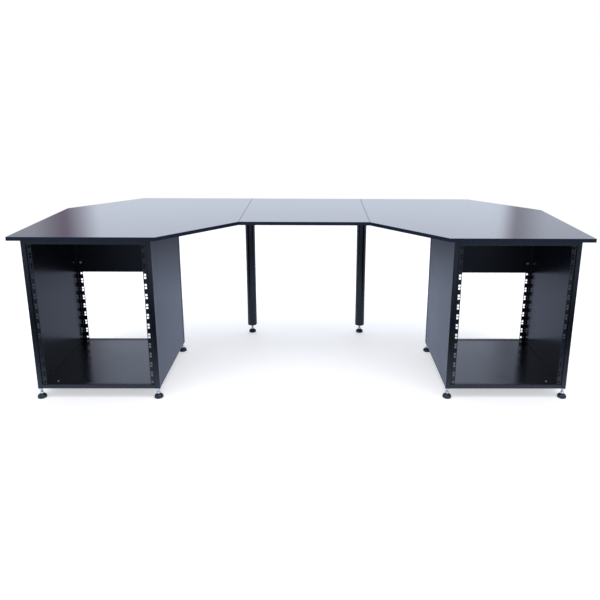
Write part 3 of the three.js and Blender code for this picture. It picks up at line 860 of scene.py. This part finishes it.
def pad_profile(rim):
    """Outline of the moulded pad: hollow sole, rim, dome, collar round the neck and the socket's mouth."""
    sole = [(0, PAD_HOLLOW), (rim - PAD_SOLE_INSET - PAD_HOLLOW, PAD_HOLLOW), (rim - PAD_SOLE_INSET, 0)]
    dome = [(rim - PAD_ARRIS, 0), (rim, PAD_ARRIS), (rim, PAD_RIM_HEIGHT)]
    top = PAD_HEIGHT - COLLAR_HEIGHT
    for i in range(1, 10):
        angle = i / 9 * math.pi / 2
        dome.append((PAD_NECK + (rim - PAD_NECK) * math.cos(angle),
                     PAD_RIM_HEIGHT + (top - PAD_RIM_HEIGHT) * math.sin(angle)))
    collar = [(COLLAR_RADIUS, top), (COLLAR_RADIUS, PAD_HEIGHT - COLLAR_ARRIS),
              (COLLAR_RADIUS - COLLAR_ARRIS, PAD_HEIGHT)]
    floor = PAD_HEIGHT - SOCKET_DEPTH
    return sole + dome + collar + [(SOCKET_RADIUS, PAD_HEIGHT), (SOCKET_RADIUS, floor), (0, floor)]


def nut_mesh(low, high):
    """Thin hexagon nut, chamfered at its corners, with a bore."""
    around = 36
    outer = []
    for i in range(around):
        angle = 2 * math.pi * i / around
        outer.append((angle, NUT_FLATS / 2 / math.cos(angle % (math.pi / 3) - math.pi / 6)))
    points, rows = [], []
    for z, widest in ((low, NUT_ROUND), (low + NUT_CHAMFER, NUT_FLATS), (high - NUT_CHAMFER, NUT_FLATS),
                      (high, NUT_ROUND)):
        rows.append(len(points))
        for angle, radius in outer:
            points.append((min(radius, widest) * math.cos(angle), min(radius, widest) * math.sin(angle), z))
    for z in (high, low):
        rows.append(len(points))
        points += [(x, y, z) for x, y in circle(NUT_BORE, around)]
    faces = []
    for a, b in zip(rows, rows[1:] + rows[:1]):
        faces += [(a + i, a + (i + 1) % around, b + (i + 1) % around, b + i) for i in range(around)]
    return mesh_from("nut", points, faces, smooth_above=25)


def add_foot(name):
    """Pad and stud each ride on their own body, and the lock nut stays on the desk."""
    pad, stud, nut = (f"{name}_foot_{part}" for part in ("pad", "stud", "nut"))
    low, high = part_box(pad)
    middle = (low + high) / 2
    place = Matrix.Translation((middle.x, middle.y, 0))
    mesh = moved(lathe("pad", pad_profile((high.x - low.x) / 2), 48), place)
    replace(pad, mesh, ["pad"], f"{name}_pad")
    low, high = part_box(stud)
    replace(stud, moved(threaded_stud(low.z, high.z), place), ["zinc"], f"{name}_stud")
    low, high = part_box(nut)
    replace(nut, moved(nut_mesh(low.z, high.z), place), ["zinc"], "desk")


# Studio

def levels_along(tree, value, levels):
    """Light for each value from a table of places and levels, which goes from end to end of its range."""
    first, last = levels[0][0], levels[-1][0]
    made = node(tree, "ShaderNodeValToRGB", {"Fac": span(tree, value, 0, 1, first, last)})
    elements = made.color_ramp.elements
    elements.remove(elements[1])
    for i, (place, level) in enumerate(levels):
        share = (place - first) / (last - first)
        stop = elements[0] if i == 0 else elements.new(share)
        stop.position = share
        stop.color = (*level, 1) if isinstance(level, tuple) else (level, level, level, 1)
    return made.outputs["Color"]


def mixed_shader(tree, factor, first, second):
    return node(tree, "ShaderNodeMixShader", {0: factor, 1: first.outputs[0], 2: second.outputs[0]})


def add_floor():
    """Pale floor that keeps the desk's shadow and runs into the white background further out. In
    reflections it has the levels of FLOOR_LEVELS instead."""
    half = FLOOR_HALF
    mesh = mesh_from("floor", [(-half, -half, 0), (half, -half, 0), (half, half, 0), (-half, half, 0)],
                     [(0, 1, 2, 3)])
    made = bpy.data.materials.new("studio_floor")
    made.use_nodes = True
    tree = made.node_tree
    shader = tree.nodes["Principled BSDF"]
    feed(tree, shader, {"Base Color": (*PALE_FLOOR, 1), "Roughness": 0.9, "Specular IOR Level": 0.1})
    place = object_place(tree)
    rays = node(tree, "ShaderNodeLightPath")
    seen = rays.outputs["Is Camera Ray"]
    distance = node(tree, "ShaderNodeVectorMath", {0: place}, operation="LENGTH").outputs["Value"]
    far = maths(tree, "MULTIPLY", span(tree, distance, 0, 1, *FLOOR_FADE), seen)
    white = node(tree, "ShaderNodeEmission", {"Color": (1, 1, 1, 1)})
    lifted = node(tree, "ShaderNodeEmission",
                  {"Color": (1, 1, 1, 1), "Strength": maths(tree, "MULTIPLY", seen, FLOOR_LIFT)})
    near = node(tree, "ShaderNodeAddShader", {0: shader.outputs[0], 1: lifted.outputs[0]})
    along = node(tree, "ShaderNodeSeparateXYZ", {"Vector": place}).outputs["Y"]
    mirrored = node(tree, "ShaderNodeEmission",
                    {"Color": (*FLOOR_TINT, 1), "Strength": levels_along(tree, along, FLOOR_LEVELS)})
    both = mixed_shader(tree, rays.outputs["Is Glossy Ray"], mixed_shader(tree, far, near, white), mirrored)
    tree.links.new(both.outputs[0], tree.nodes["Material Output"].inputs["Surface"])
    mesh.materials.append(made)
    floor = bpy.data.objects.new("studio_floor", mesh)
    bpy.context.scene.collection.objects.link(floor)


def add_world():
    """White room: the camera sees it plain white, and the desk is lit by a room that is darker beside and
    before the backdrop."""
    world = bpy.data.worlds.new("studio")
    bpy.context.scene.world = world
    world.use_nodes = True
    tree = world.node_tree
    place = node(tree, "ShaderNodeTexCoord").outputs["Generated"]
    axes = node(tree, "ShaderNodeSeparateXYZ", {"Vector": place})
    turn = maths(tree, "ARCTAN2", axes.outputs["X"], axes.outputs["Y"])
    azimuth = maths(tree, "MULTIPLY", turn, 180 / math.pi)
    glow = span(tree, axes.outputs["Z"], *GLOW_LEVELS, *GLOW_RISE)
    room = levels_along(tree, azimuth, ROOM_LEVELS)
    tinted = node(tree, "ShaderNodeVectorMath", {0: room, 1: ROOM_TINT}, operation="MULTIPLY").outputs[0]
    rays = node(tree, "ShaderNodeLightPath")
    clear = maths(tree, "ADD", rays.outputs["Is Camera Ray"], rays.outputs["Is Transmission Ray"])
    plain = tree.nodes["Background"]
    plain.inputs["Color"].default_value = (1, 1, 1, 1)
    lit = node(tree, "ShaderNodeBackground", {"Color": tinted, "Strength": glow})
    both = mixed_shader(tree, clear, lit, plain)
    tree.links.new(both.outputs[0], tree.nodes["World Output"].inputs["Surface"])


def add_lamps():
    for name, place, size, power in LAMPS:
        lamp = bpy.data.lights.new(name, "AREA")
        lamp.shape = "RECTANGLE"
        lamp.size, lamp.size_y = size
        lamp.energy = power
        made = bpy.data.objects.new(name, lamp)
        made.location = place
        made.rotation_euler = (Vector(LAMP_TARGET) - Vector(place)).to_track_quat("-Z", "Y").to_euler()
        bpy.context.scene.collection.objects.link(made)


def add_camera():
    data = bpy.data.cameras.new("camera")
    data.sensor_width = FILM_WIDTH_MM
    data.sensor_fit = "HORIZONTAL"
    data.lens = FOCAL_PIXELS / PICTURE_PIXELS * FILM_WIDTH_MM
    data.shift_x = (PICTURE_PIXELS / 2 - AXIS_PIXEL[0]) / PICTURE_PIXELS
    data.shift_y = (AXIS_PIXEL[1] - PICTURE_PIXELS / 2) / PICTURE_PIXELS
    camera = bpy.data.objects.new("camera", data)
    yaw, pitch, roll = (math.radians(v) for v in (CAMERA_YAW, CAMERA_PITCH, CAMERA_ROLL))
    forward = Vector((math.sin(yaw) * math.cos(pitch), math.cos(yaw) * math.cos(pitch), math.sin(pitch)))
    right = Vector((math.cos(yaw), -math.sin(yaw), 0))
    turned = right * math.cos(roll) + right.cross(forward) * math.sin(roll)
    axes = Matrix((turned, turned.cross(forward), -forward)).transposed().to_4x4()
    camera.matrix_world = Matrix.Translation(CAMERA_PLACE) @ axes
    bpy.context.scene.collection.objects.link(camera)
    bpy.context.scene.camera = camera


def dress(names, look):
    """CAD nodes that stay as they are get their finished material."""
    for name in names:
        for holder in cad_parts[name].material_slots:
            holder.material = LOOKS[look]


add_camera()
add_worktop()
for side in SIDES:
    for end in ENDS:
        add_ring(side, end)
        add_ring_screws(side, end)
        for wall in WALLS:
            add_rail(side, end, wall)
    for wall in WALLS:
        add_board(f"{side}_{wall}_side_board", 0, ["side", "side_band"], BOARD_ARRIS)
    add_board(f"{side}_floor_board", 2, ["floor", "raw"], FLOOR_ARRIS)
    add_blank_panel(side)
    add_leg(side)
    add_plate_screws(f"{side}_leg_plate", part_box(f"{side}_leg_plate")[1].z - LEG_PLATE_SHEET)
    add_plate_screws(f"seam_plate_{side}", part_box(f"seam_plate_{side}")[0].z)
    for end in ENDS:
        for wall in WALLS:
            add_foot(f"{side}_{end}_{wall}")
    add_foot(f"{side}_leg")
dress(["seam_plate_left", "seam_plate_right", "left_leg_plate", "right_leg_plate"], "plate")
add_floor()
add_world()
add_lamps()
bpy.context.scene.view_settings.view_transform = "Standard"
